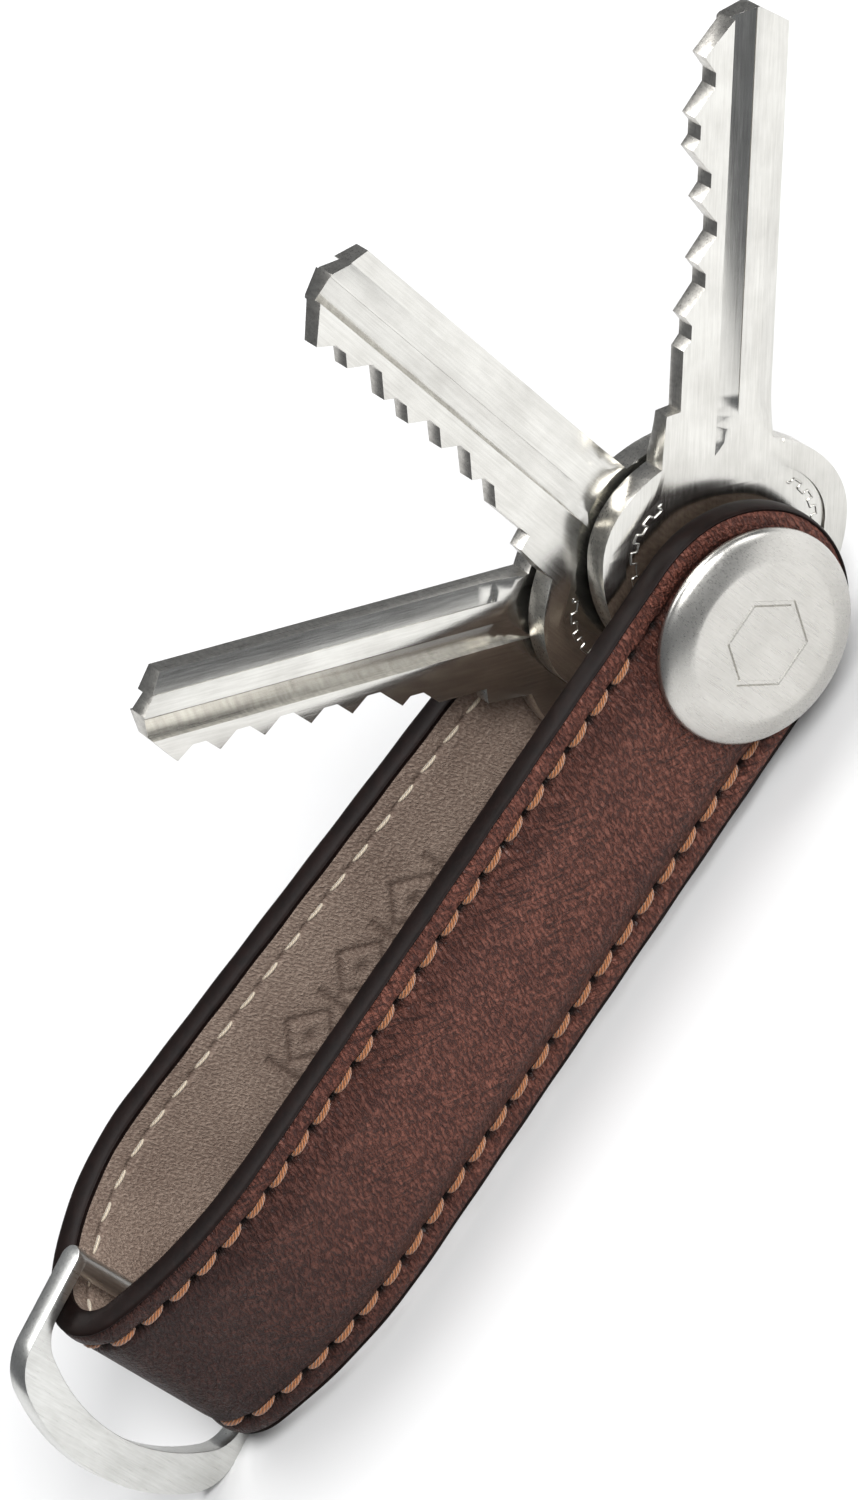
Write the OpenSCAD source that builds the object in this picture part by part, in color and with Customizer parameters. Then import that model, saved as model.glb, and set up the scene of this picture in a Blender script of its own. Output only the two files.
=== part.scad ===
// Leather key organiser: a folded leather band with a D-ring in its bend, and keys that fan
// out on one clamping post between the two ends.
// X runs along the band from the D-ring to the post, Y runs through the band along the post,
// Z runs up across the band's width. The origin is the middle of the front cap's flat face.

/* [Leather band] */
// width of the band across its stitch rows
strap_w = 19; // [15:0.5:25]
// from the post to the outermost point of the bend
strap_reach = 70.6; // [60:0.5:90]
// thickness of the outer leather
leather_t = 1.2; // [0.8:0.1:2]
// thickness of the lining leather
lining_t = 0.9; // [0.6:0.1:1.4]
// thickness of the padding between the two leathers
pad_t = 1.0; // [0.5:0.1:1.5]
// distance between the padding and a stitch row
pad_side = 1.6; // [1:0.1:3]
// distance of a stitch row from the edge
seam_inset = 2.2; // [1.5:0.1:3]
// bend radius of the nose that holds the ring, at the glue line
nose_r = 3.85; // [3.2:0.05:6]
// how far the front arm turns before the nose, in degrees
front_turn = 26; // [15:1:35]
// how far the nose itself turns, in degrees
nose_turn = 109; // [95:1:125]
// how far the rear arm leans back to the post, in degrees
rear_lean = 5; // [3:0.5:8]
// distance from the post at which the rear arm starts to lean
rear_clamp = 8.19; // [6:0.01:14]

/* [Thread] */
// diameter of the outer thread
thread_d = 0.6; // [0.4:0.05:0.9]
// diameter of the lining thread
lining_thread_d = 0.4; // [0.3:0.05:0.6]
// width left free beside a thread in its groove
thread_gap = 0.06; // [0.02:0.01:0.15]

/* [Post and caps] */
// diameter of the post barrel that the keys turn on
post_d = 5; // [4:0.1:6]
// diameter of the screw shank
screw_d = 3.2; // [2.5:0.1:3.6]
// radial gap between the screw and the barrel's thread
screw_gap = 0.05; // [0.02:0.01:0.1]
// diameter of a cap over its rim
cap_d = 16.9; // [13:0.1:18]
// diameter of the flat on a cap
cap_flat_d = 12.7; // [9:0.1:14]
// thickness of a cap at its rim
cap_rim_t = 0.8; // [0.5:0.1:1.5]
// height of the cap's dome above its rim
cap_dome_t = 1.1; // [0.6:0.1:1.6]
// depth of the outline engraved in the front cap
engrave_t = 0.15; // [0.1:0.05:0.3]
// diameter of the screw's coin-slot head
screw_head_d = 8; // [6:0.1:10]
// thickness of the screw's head
screw_head_t = 1.1; // [0.8:0.1:1.3]
// width of the coin slot
slot_w = 1.3; // [1:0.1:2]
// diameter of the barrel's flange under the front cap
flange_d = 8; // [7:0.1:10]
// thickness of the barrel's flange
flange_t = 0.9; // [0.6:0.1:1.2]

/* [Key stack] */
// thickness of a key
key_t = 2.1; // [1.8:0.1:2.6]
// thickness of a washer or spacer
washer_t = 0.65; // [0.4:0.05:1.2]
// diameter of a washer or spacer
washer_d = 11; // [8:0.5:14]
// running gap on each side of a key
side_gap = 0.05; // [0.02:0.01:0.1]
// radial running gap between a key and the post
bore_gap = 0.06; // [0.02:0.01:0.1]

/* [Keys] */
// full width of a key's bow
bow_w = 21.6; // [18:0.2:24]
// bow reach from its middle towards the blade
bow_front = 7.8; // [6:0.1:10]
// bow reach from its middle past the post
bow_back = 10.8; // [9:0.1:13]
// middle of the bow, measured from the post
bow_mid = 6.2; // [4:0.1:8]
// depth of the panel pressed into the bow
bow_recess = 0.25; // [0.1:0.05:0.4]
// height of a blade
blade_h = 8.3; // [7:0.1:9]
// distance from the post to a key's shoulder
shoulder_at = 17; // [15:0.1:20]
// distance from the post to the front key's tip
front_key_reach = 47.1; // [40:0.1:52]
// distance from the post to the middle key's tip
middle_key_reach = 45.6; // [40:0.1:52]
// distance from the post to the rear key's tip
rear_key_reach = 45.9; // [40:0.1:52]
// fan angle of the front key, from folded
front_key_angle = 140.4; // [0:0.1:180]
// fan angle of the middle key, from folded
middle_key_angle = 93; // [0:0.1:180]
// fan angle of the rear key, from folded
rear_key_angle = 47.4; // [0:0.1:180]

/* [D-ring] */
// gap between the band's edge and a leg of the ring
ring_gap = 0.95; // [0.4:0.05:2]
// thickness of the flat strip
ring_t = 1.9; // [1.4:0.1:2.5]
// width of the strip in its two straight legs
ring_leg_w = 0.95; // [0.8:0.05:1.5]
// from the hinge line to the inside of the curved end
ring_eye = 9.6; // [8:0.1:14]
// width of the strip at the curved end
ring_end_w = 3.3; // [2:0.1:4]
// diameter of the ring's bar
ring_bar_d = 1.7; // [1.4:0.05:2]
// corner radius of the ring's far end, outside
ring_corner_r = 4.2; // [2.5:0.1:5]
// corner radius of the ring's eye at its far end
ring_eye_corner_r = 3.2; // [1.5:0.1:4]
// swing of the ring towards the front, in degrees
ring_swing = 10; // [-90:1:90]

/* [Display] */
// sub-part to draw

/* [Hidden] */
$fn = 96;
leather_c = [0.33, 0.2, 0.16];
lining_c = [0.6, 0.53, 0.47];
thread_c = [0.72, 0.45, 0.2];
steel_c = [0.8, 0.8, 0.79];
nickel_c = [0.86, 0.85, 0.82];

// stack along the post, front to rear
cap_t = cap_rim_t + cap_dome_t;
pad_gap = 0.02;
arm_out = leather_t + pad_t + pad_gap;
glue_front = cap_t + arm_out;
stack_start = glue_front + lining_t;
end_washer_t = washer_t + side_gap;
key_step = key_t + washer_t + 2 * side_gap;
front_key_y = stack_start + end_washer_t + side_gap;
middle_key_y = front_key_y + key_step;
rear_key_y = middle_key_y + key_step;
stack_end = rear_key_y + key_t + side_gap + end_washer_t;
glue_rear = stack_end + lining_t;
rear_cap_y = glue_rear + arm_out;
back_y = rear_cap_y + cap_t;
bore_d = post_d + 2 * bore_gap;
hole_r = post_d / 2 + 0.1;
half_w = strap_w / 2;
seam_z = half_w - seam_inset;
pad_w = 2 * (seam_z - pad_side);
ring_w = strap_w + 2 * (ring_gap + ring_leg_w);

// route of the glue line between the two leathers, seen from above
arm_r = 36;
kink_r = 20;
nose_end = 180 - front_turn - nose_turn;
nose_x = -strap_reach + nose_r + leather_t;
nose_x0 = nose_x - nose_r * cos(90 - front_turn);
arm_x0 = nose_x0 + arm_r * sin(front_turn);
nose_y0 = glue_front + arm_r * (1 - cos(front_turn));
nose_y = nose_y0 + nose_r * cos(front_turn);
nose_x1 = nose_x - nose_r * sin(nose_end);
nose_y1 = nose_y + nose_r * cos(nose_end);
kink_drop = kink_r * (1 - cos(rear_lean));
// the rear arm's gentle radius that brings its lean to the post at rear_clamp
back_r = (-rear_clamp - nose_x1 - kink_r * sin(rear_lean)
          - (nose_y1 - glue_rear - kink_drop) / tan(rear_lean))
    / (sin(nose_end) + sin(rear_lean) + (cos(rear_lean) - cos(nose_end)) / tan(rear_lean));
back_x1 = nose_x1 + back_r * (sin(nose_end) + sin(rear_lean));
back_y1 = nose_y1 + back_r * (cos(rear_lean) - cos(nose_end));
lean_l = (back_y1 - glue_rear - kink_drop) / sin(rear_lean);
kink_x0 = back_x1 + lean_l * cos(rear_lean);
kink_y0 = back_y1 - lean_l * sin(rear_lean);
clamp_x = kink_x0 + kink_r * sin(rear_lean);

// the ring's hinge line, inside the nose
hinge_x = nose_x - 0.25;
hinge_y = nose_y + 1.65;

// grooves for the threads
groove_h = 0.35;
groove_w = thread_d + 2 * thread_gap;
lining_groove_h = 0.2;
lining_groove_w = lining_thread_d + 2 * thread_gap;
crown_w = pad_w + 1.8;

// stations along the glue line: [x, y, heading]
function arc(x, y, r, h0, h1, n) = [for (i = [1:n]) let(h = h0 + (h1 - h0) * i / n)
    [x - r * sin(h), y + r * cos(h), h]];
arm_steps = 8;
nose_steps = 18;
back_steps = 12;
stations = concat(
    [[0, glue_front, 180], [arm_x0, glue_front, 180]],
    arc(arm_x0, glue_front + arm_r, arm_r, 180, 180 - front_turn, arm_steps),
    arc(nose_x, nose_y, nose_r, 180 - front_turn, nose_end, nose_steps),
    arc(back_x1 - back_r * sin(rear_lean), back_y1 - back_r * cos(rear_lean), back_r,
        nose_end, -rear_lean, back_steps),
    [[kink_x0, kink_y0, -rear_lean]],
    arc(clamp_x, glue_rear + kink_r, -kink_r, -rear_lean, 0, 3),
    [[0, glue_rear, 0]]);
whole_band = [0, len(stations) - 1];
front_arm = [0, arm_steps + 0.5];
rear_arm = [arm_steps + nose_steps + 4.5, len(stations) - 1];
pad_arm = rear_arm + [1, 0];
function station(i) = let(a = floor(i), f = i - a)
    f == 0 ? stations[a] : stations[a] * (1 - f) + stations[a + 1] * f;
function station_numbers(r) = concat(ceil(r[0]) > r[0] ? [r[0]] : [],
    [for (i = [ceil(r[0]):floor(r[1])]) i], floor(r[1]) < r[1] ? [r[1]] : []);
function offset_line(t, r) = [for (i = station_numbers(r)) let(s = station(i))
    [s[0] - t * sin(s[2]), s[1] + t * cos(s[2])]];
function backwards(l) = [for (i = [len(l) - 1:-1:0]) l[i]];

// a layer of the band between two heights t0 and t1 outward from the glue line
module layer(t0, t1, w, z = 0, range = whole_band) {
    translate([0, 0, z - w / 2])
        linear_extrude(w)
            polygon(concat(offset_line(t0, range), backwards(offset_line(t1, range))));
}

module along_post(y, r, l) {
    translate([0, y, 0])
        rotate([-90, 0, 0])
            cylinder(r = r, h = l);
}

// a layer on the front arm with its round end about the post
module front_layer(t0, t1, w, range = front_arm) {
    layer(t0, t1, w, 0, range);
    along_post(glue_front - t1, w / 2, t1 - t0);
}

module rear_layer(t0, t1, w, range = rear_arm) {
    layer(t0, t1, w, 0, range);
    along_post(glue_rear + t0, w / 2, t1 - t0);
}

module band_layer(t0, t1, w) {
    front_layer(t0, t1, w, whole_band);
    along_post(glue_rear + t0, w / 2, t1 - t0);
}

module outer_leather() {
    color(leather_c)
        difference() {
            union() {
                band_layer(0, leather_t, strap_w);
                front_layer(leather_t / 2, arm_out, crown_w);
                rear_layer(leather_t / 2, arm_out, crown_w);
            }
            front_layer(-0.5, pad_t + pad_gap, pad_w + 2 * pad_gap, front_arm - [0, 1]);
            rear_layer(-0.5, pad_t + pad_gap, pad_w + 2 * pad_gap, pad_arm);
            for (s = [-1, 1])
                layer(leather_t - groove_h, leather_t + 0.3, groove_w, s * seam_z);
            along_post(0, hole_r, back_y);
        }
}

module lining() {
    color(lining_c)
        difference() {
            band_layer(-lining_t, 0, strap_w);
            for (s = [-1, 1])
                layer(-lining_t - 0.3, -lining_t + lining_groove_h, lining_groove_w, s * seam_z);
            along_post(0, hole_r, back_y);
        }
}

module front_padding() {
    color([0.75, 0.72, 0.66])
        difference() {
            front_layer(0, pad_t, pad_w, front_arm - [0, 1]);
            along_post(0, hole_r, back_y);
        }
}

module rear_padding() {
    color([0.75, 0.72, 0.66])
        difference() {
            rear_layer(0, pad_t, pad_w, pad_arm);
            along_post(0, hole_r, back_y);
        }
}

module seam(out, d, z) {
    layer(out - d / 2, out + d / 2, d, z);
}

module upper_stitching() {
    color(thread_c)
        seam(leather_t - groove_h + thread_d / 2, thread_d, seam_z);
}

module lower_stitching() {
    color(thread_c)
        seam(leather_t - groove_h + thread_d / 2, thread_d, -seam_z);
}

module upper_lining_stitching() {
    color([0.85, 0.8, 0.7])
        seam(lining_groove_h - lining_t - lining_thread_d / 2, lining_thread_d, seam_z);
}

module lower_lining_stitching() {
    color([0.85, 0.8, 0.7])
        seam(lining_groove_h - lining_t - lining_thread_d / 2, lining_thread_d, -seam_z);
}

// a domed disc, flat side at 0, growing along +Z of its own axis
module dome_disc() {
    rotate_extrude()
        polygon([[0, 0], [cap_d / 2 - 0.15, 0], [cap_d / 2, 0.15], [cap_d / 2, cap_rim_t - 0.2],
                 [cap_d / 2 - 0.35, cap_rim_t], [cap_flat_d / 2, cap_t - 0.12],
                 [cap_flat_d / 2 - 0.3, cap_t], [0, cap_t]]);
}

module front_cap() {
    color(steel_c)
        difference() {
            translate([0, cap_t, 0])
                rotate([90, 0, 0])
                    dome_disc();
            along_post(cap_t - flange_t - 0.01, flange_d / 2 + 0.02, flange_t + 1);
            translate([0, -1, 0])
                rotate([-90, 0, 0])
                    linear_extrude(1 + engrave_t)
                        difference() {
                            circle(cap_flat_d * 0.3, $fn = 6);
                            circle(cap_flat_d * 0.3 - 0.5, $fn = 6);
                        }
        }
}

module post_barrel() {
    color(steel_c)
        difference() {
            union() {
                along_post(cap_t - flange_t, flange_d / 2, flange_t);
                along_post(cap_t - 0.5, post_d / 2, rear_cap_y - cap_t + 0.5 - 0.3);
            }
            along_post(cap_t + 0.6, screw_d / 2 + screw_gap, back_y);
        }
}

module rear_cap() {
    color(steel_c)
        difference() {
            translate([0, rear_cap_y, 0])
                rotate([-90, 0, 0])
                    dome_disc();
            along_post(rear_cap_y - 1, screw_d / 2 + 0.2, cap_t + 2);
            along_post(back_y - screw_head_t, screw_head_d / 2 + 0.05, screw_head_t + 1);
        }
}

module clamp_screw() {
    color(steel_c)
        difference() {
            union() {
                along_post(back_y - screw_head_t, screw_head_d / 2, screw_head_t);
                along_post(cap_t + 1.2, screw_d / 2, back_y - cap_t - 1.2 - 0.5);
            }
            translate([-screw_head_d, back_y - 0.6, -slot_w / 2])
                cube([2 * screw_head_d, 1, slot_w]);
        }
}

module washer(y, t) {
    color([0.15, 0.15, 0.15])
        difference() {
            along_post(y, washer_d / 2, t);
            along_post(y - 1, hole_r, t + 2);
        }
}

module front_washer() washer(stack_start, end_washer_t);
module front_spacer() washer(front_key_y + key_t + side_gap, washer_t);
module rear_spacer() washer(middle_key_y + key_t + side_gap, washer_t);
module rear_washer() washer(rear_key_y + key_t + side_gap, end_washer_t);

function bow_point(a, inset) = let(s = cos(a) > 0 ? bow_front : bow_back)
    [bow_mid + (s - inset) * cos(a), (bow_w / 2 - inset) * sin(a)];

module bow_outline(inset) {
    polygon([for (i = [0:71]) bow_point(i * 5, inset)]);
}

// the cut edge runs from the shoulder to the tip; each cut is a short flat between two ramps
cut_slope = 0.85;
cut_flat = 0.55;
function peak(at, pitch, v1, v2, top) = let(d = pitch - 2 * cut_flat,
        l = (d + (v2 - v1) / cut_slope) / 2, h = v1 + cut_slope * l)
    h < top ? [[at + cut_flat + l, h]] :
    [[at + cut_flat + (top - v1) / cut_slope, top],
     [at + pitch - cut_flat - (top - v2) / cut_slope, top]];
function cut_edge(first, pitch, cuts, top) = [for (i = [0:len(cuts) - 1]) each concat(
    i == 0 ? [[first - cut_flat - (top - cuts[0]) / cut_slope, top]] : [],
    [[first + i * pitch - cut_flat, cuts[i]], [first + i * pitch + cut_flat, cuts[i]]],
    i < len(cuts) - 1 ? peak(first + i * pitch, pitch, cuts[i], cuts[i + 1], top) : [])];

module blade_outline(reach, low, pitch, cuts) {
    top = low + blade_h;
    last = shoulder_at + 6 + (len(cuts) - 1) * pitch + cut_flat;
    polygon(concat([[bow_mid, low], [reach - 1.7, low], [reach, low + 3], [reach - 0.7, low + 5.1]],
        [[min(last + 1.3, reach - 1.2), cuts[len(cuts) - 1] + 1]],
        [for (i = [len(cuts) * 4:-1:0]) let(e = cut_edge(shoulder_at + 6, pitch, cuts, top))
            if (i < len(e)) e[i]],
        [[shoulder_at, top], [shoulder_at - 0.15, top + 1.2], [shoulder_at - 3.3, top + 1.4],
         [bow_mid, top + 1.4]]));
}

// a slot milled along the blade with a sloping floor, depth d0 at its low side and d1 at the
// other; it fades out towards the bow in a point, as a round angled cutter leaves it
module milled_slot(from, reach, low, w, d0, d1, front) {
    face = front ? key_t : 0;
    s = front ? 1 : -1;
    axis = 14 - max(d0, d1);
    translate([from, low, face])
        rotate([90, 0, 90])
            linear_extrude(reach + 2 - from)
                polygon([[0, -s * d0], [w, -s * d1], [w, s], [0, s]]);
    translate([from, low, face + s * axis])
        rotate([-90, 0, 0])
            cylinder(r1 = axis + d0, r2 = axis + d1, h = w);
}

module key_solid(reach, low, pitch, cuts) {
    difference() {
        linear_extrude(key_t)
            union() {
                bow_outline(0);
                blade_outline(reach, low, pitch, cuts);
            }
        translate([0, 0, -1])
            cylinder(d = bore_d, h = key_t + 2);
        // the bow's pressed panel on both faces
        for (z = [-1, key_t - bow_recess])
            translate([0, 0, z])
                linear_extrude(1 + (z < 0 ? bow_recess : 0))
                    difference() {
                        bow_outline(2);
                        circle(r = post_d / 2 + 2.6);
                        translate([bow_mid + bow_front - 3.6, low - 1])
                            square([bow_front, blade_h + 3]);
                    }
        // front face: a slot along the middle and a bevelled step along the spine
        milled_slot(shoulder_at + 0.5, reach, low + 3.2, 1.9, 0.1, 0.75, true);
        milled_slot(shoulder_at + 0.5, reach, low - 1, 2.5, 0.8, 0.12, true);
        // rear face: a slot near the spine and a thinned cut side
        milled_slot(shoulder_at - 0.5, reach, low + 1.7, 1.4, 0.7, 0.3, false);
        milled_slot(shoulder_at + 0.5, reach, low + 5.3, blade_h, 0.25, 0.9, false);
    }
}

module key_at(y, angle) {
    color(nickel_c)
        translate([0, y + key_t, 0])
            rotate([90, 0, 0])
                rotate([0, 0, 180 - angle])
                    children();
}

module front_key() {
    key_at(front_key_y, front_key_angle)
        key_solid(front_key_reach, -3.75, 3.82, [3.9, 2.9, 2.1, 2.8, 3.9, 2.8]);
}

module middle_key() {
    key_at(middle_key_y, middle_key_angle)
        key_solid(middle_key_reach, -4.05, 3.6, [3.1, 2.4, 2.4, 2.7, 2.0, 2.6]);
}

module rear_key() {
    key_at(rear_key_y, rear_key_angle)
        key_solid(rear_key_reach, -4.65, 3.68, [2.5, 1.5, 1.5, 1.2, 1.3, 1.5]);
}

// a D shape in its own plane: [distance out from the hinge line, height]
module d_shape(apex, half, r, round_r, back) {
    c = apex - r;
    fx = c + sqrt(pow(r - round_r, 2) - pow(half - round_r, 2));
    fz = half - round_r;
    k = r / (r - round_r);
    difference() {
        intersection() {
            translate([c, 0])
                circle(r, $fn = 240);
            translate([back, -half])
                square([apex - back + 1, 2 * half]);
        }
        for (s = [-1, 1])
            polygon([[fx, s * fz], [fx, s * (half + 1)], [fx + 4 * round_r, s * (half + 1)],
                     [c + (fx - c) * k * 1.2, s * fz * k * 1.2]]);
    }
    for (s = [-1, 1])
        translate([fx, s * fz])
            circle(round_r, $fn = 64);
}

module d_ring() {
    color(steel_c)
        translate([hinge_x, hinge_y, 0])
            rotate([0, 0, ring_swing])
                union() {
                    translate([0, ring_t / 2, 0])
                        rotate([90, 0, 0])
                            linear_extrude(ring_t)
                                mirror([1, 0])
                                    difference() {
                                        d_shape(ring_eye + ring_end_w, ring_w / 2, 19, ring_corner_r, 0);
                                        d_shape(ring_eye, ring_w / 2 - ring_leg_w, 17,
                                                ring_eye_corner_r, -2);
                                    }
                    translate([0, 0, -ring_w / 2])
                        cylinder(d = ring_bar_d, h = ring_w);
                    for (z = [-ring_w / 2, ring_w / 2 - ring_leg_w])
                        translate([0, 0, z])
                            cylinder(d = ring_t, h = ring_leg_w);
                }
}

outer_leather();
lining();
front_padding();
rear_padding();
upper_stitching();
lower_stitching();
upper_lining_stitching();
lower_lining_stitching();
front_cap();
post_barrel();
rear_cap();
clamp_screw();
front_washer();
front_spacer();
rear_spacer();
rear_washer();
front_key();
middle_key();
rear_key();
d_ring();
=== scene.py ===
# %% [markdown]
# # Leather key organiser
# A folded leather band holds three keys that fan out on one clamping post, with a steel D-ring
# in the bend. This lesson dresses the imported model: every visible surface gets its real shape
# and finish. The imported model is loaded first, as a fixed frame, and its box is kept.

# %% Load the frame
import bmesh
import bpy
import numpy as np
from mathutils import Matrix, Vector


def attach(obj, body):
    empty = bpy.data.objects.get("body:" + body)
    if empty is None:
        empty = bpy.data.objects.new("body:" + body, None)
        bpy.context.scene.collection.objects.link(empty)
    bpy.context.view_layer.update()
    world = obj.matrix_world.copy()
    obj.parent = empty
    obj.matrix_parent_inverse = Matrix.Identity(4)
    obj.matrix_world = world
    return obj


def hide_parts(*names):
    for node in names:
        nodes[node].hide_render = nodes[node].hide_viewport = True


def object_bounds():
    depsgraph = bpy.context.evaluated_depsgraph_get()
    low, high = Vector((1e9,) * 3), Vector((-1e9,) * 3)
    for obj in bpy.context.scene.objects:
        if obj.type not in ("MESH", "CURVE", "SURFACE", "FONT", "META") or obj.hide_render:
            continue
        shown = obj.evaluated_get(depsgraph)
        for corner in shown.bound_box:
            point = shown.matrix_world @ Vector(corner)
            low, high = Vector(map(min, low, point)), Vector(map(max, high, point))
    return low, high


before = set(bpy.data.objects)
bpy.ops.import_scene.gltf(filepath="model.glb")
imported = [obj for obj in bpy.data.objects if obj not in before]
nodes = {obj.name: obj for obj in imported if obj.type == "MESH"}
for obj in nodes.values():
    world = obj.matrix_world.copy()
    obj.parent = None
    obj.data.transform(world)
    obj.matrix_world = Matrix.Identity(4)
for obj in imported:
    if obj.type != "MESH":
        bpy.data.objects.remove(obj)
cad_lo, cad_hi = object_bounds()
MM = 0.001
print("box of the packed model, mm:", [round((b - a) / MM, 1) for a, b in zip(cad_lo, cad_hi)])

# %% [markdown]
# ## Camera
# The camera looks from the front and about forty degrees above, and it is rolled, so that the
# band runs up the picture. It stands about six hundred millimetres away behind a long lens.
# A camera could be aimed with a Track To constraint, but the roll would then need a second
# control, so its three axes are written down as the columns of its matrix.

# %% Make the camera
right = (0.5618, -0.5319, -0.6336)
down = (-0.8272, -0.3572, -0.4337)
away = (0.0044, 0.7678, -0.6407)
axes = np.array([right, [-d for d in down], [-a for a in away]]).T
cam_data = bpy.data.cameras.new("camera")
cam_data.sensor_fit = "VERTICAL"
cam_data.sensor_height = 36.0
cam_data.lens = 194.5
camera = bpy.data.objects.new("camera", cam_data)
bpy.context.scene.collection.objects.link(camera)
camera.matrix_world = (Matrix.Translation((-0.02286, -0.44404, 0.39143))
                       @ Matrix(axes.tolist()).to_4x4())
bpy.context.scene.camera = camera
print("camera at", [round(v, 3) for v in camera.location])

# %% [markdown]
# ## Helpers for surfaces
# Most pieces here are one surface on a grid of points: rows run along the piece and columns run
# round it. Three small helpers turn such a grid into a mesh: one numbers the four corners of
# every cell, one puts points, faces, UV and painted values into a mesh, and one closes it, by
# merging the points that meet at poles and seams and turning all faces outwards.

# %% Grid helpers
def grid_cells(rows, cols):
    """Corners of each cell of a rows x cols grid whose last column joins the first."""
    r = np.arange(rows - 1)[:, None]
    c = np.arange(cols)[None, :]
    n = (c + 1) % cols
    cells = [r * cols + c, r * cols + n, (r + 1) * cols + n, (r + 1) * cols + c]
    return np.stack(cells, -1).reshape(-1, 4)


def close_up(mesh):
    """Merge points that meet and turn the faces outwards."""
    bm = bmesh.new()
    bm.from_mesh(mesh)
    bmesh.ops.remove_doubles(bm, verts=bm.verts, dist=2e-7)
    bmesh.ops.dissolve_degenerate(bm, edges=bm.edges, dist=1e-8)
    bmesh.ops.recalc_face_normals(bm, faces=bm.faces)
    bm.to_mesh(mesh)
    bm.free()


def make_piece(name, points, cells, uv=None, painted=None, sharp=None):
    """A mesh object from points in millimetres; uv and painted hold one value per point."""
    mesh = bpy.data.meshes.new(name)
    points = np.asarray(points, float).reshape(-1, 3)
    mesh.from_pydata((points * MM).tolist(), [], cells.tolist())
    if uv is not None:
        layer = mesh.uv_layers.new(name="UVMap")
        corner = np.empty(len(mesh.loops), int)
        mesh.loops.foreach_get("vertex_index", corner)
        layer.data.foreach_set("uv", np.asarray(uv, float).reshape(-1, 2)[corner].ravel())
    for key, values in (painted or {}).items():
        attribute = mesh.attributes.new(key, "FLOAT", "POINT")
        attribute.data.foreach_set("value", np.asarray(values, float).ravel())
    close_up(mesh)
    mesh.shade_smooth()
    if sharp:
        mesh.set_sharp_from_angle(angle=np.radians(sharp))
    piece = bpy.data.objects.new(name, mesh)
    bpy.context.scene.collection.objects.link(piece)
    print(name, len(mesh.polygons), "faces")
    return piece


def soft_step(x, a, b):
    """0 at a, 1 at b, and a smooth S between."""
    t = np.clip((x - a) / (b - a), 0, 1)
    return t * t * (3 - 2 * t)


def bell(x, width):
    """A smooth bump, 1 at x = 0 and nearly 0 beyond two widths."""
    return np.exp(-(x / width) ** 2)


print("a grid of 3 by 4 points has", len(grid_cells(3, 4)), "cells")


# %% [markdown]
# ## Helpers for finishes
# Every finish is a Principled shader fed by procedural patterns. A helper adds one node and
# wires its inputs, so a finish reads as a short list. Colours are written as they look on a
# screen, and are changed to the linear values that the shader needs.

# %% Finish helpers
def screen(r, g, b):
    """Linear colour from screen values of 0 to 255."""
    c = np.array([r, g, b]) / 255
    c = np.where(c <= 0.04045, c / 12.92, ((c + 0.055) / 1.055) ** 2.4)
    return (*c.tolist(), 1.0)


def add(mat, kind, inputs=None, **settings):
    """One node; inputs maps a socket's name to a value or to another node's output."""
    n = mat.node_tree.nodes.new("ShaderNode" + kind)
    for key, value in settings.items():
        setattr(n, key, value)
    for key, value in (inputs or {}).items():
        if isinstance(value, bpy.types.NodeSocket):
            mat.node_tree.links.new(value, n.inputs[key])
        else:
            n.inputs[key].default_value = value
    return n


def maths(mat, operation, a, b=0.0):
    """One Math node's output."""
    return add(mat, "Math", {0: a, 1: b}, operation=operation).outputs[0]


def ramp(mat, value, *stops):
    """A Color Ramp's output through the given (place, colour) stops."""
    n = add(mat, "ValToRGB", {"Fac": value})
    band = n.color_ramp
    while len(band.elements) < len(stops):
        band.elements.new(0.5)
    for element, (place, colour) in zip(band.elements, stops):
        element.position = place
        element.color = colour if isinstance(colour, tuple) else (colour,) * 3 + (1.0,)
    return n.outputs["Color"]


def mix(mat, amount, a, b):
    """One colour Mix node's output."""
    n = add(mat, "Mix", data_type="RGBA")
    for socket, value in ((0, amount), (6, a), (7, b)):
        if isinstance(value, bpy.types.NodeSocket):
            mat.node_tree.links.new(value, n.inputs[socket])
        else:
            n.inputs[socket].default_value = value
    return n.outputs[2]


def layer(mat, under, mask, strength, colour):
    """One colour laid over another, where mask is high and as thick as strength."""
    return mix(mat, maths(mat, "MULTIPLY", mask, strength), under, colour)


def noise(mat, place, scale, detail=3.0, rough=0.55, warp=0.0):
    """A Noise texture's value at place."""
    return add(mat, "TexNoise", {"Vector": place, "Scale": scale, "Detail": detail,
                                 "Roughness": rough, "Distortion": warp}).outputs[0]


def new_finish(name, **fixed):
    """A material with one Principled shader whose fixed values are set on its own sockets."""
    mat = bpy.data.materials.new(name)
    mat.use_nodes = True
    shader = mat.node_tree.nodes["Principled BSDF"]
    for key, value in fixed.items():
        shader.inputs[key.replace("_", " ")].default_value = value
    return mat, shader


def spot(mat, size=(1, 1, 1), turn=(0, 0, 0)):
    """A place on the piece for a pattern whose marks have these sizes, in millimetres, along
    axes turned by the given angles."""
    coords = add(mat, "TexCoord").outputs["Object"]
    return add(mat, "Mapping", {"Vector": coords, "Scale": [v * MM for v in size],
                                "Rotation": turn}, vector_type="TEXTURE").outputs[0]


def flat_spot(mat, size=(1, 1), degrees=0):
    """The same on the flattened band: sizes along and across, turned from the band's length."""
    coords = add(mat, "TexCoord").outputs["UV"]
    return add(mat, "Mapping", {"Vector": coords, "Scale": (size[0] / 100, size[1] / 100, 1),
                                "Rotation": (0, 0, np.radians(degrees))},
               vector_type="TEXTURE").outputs[0]


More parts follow.
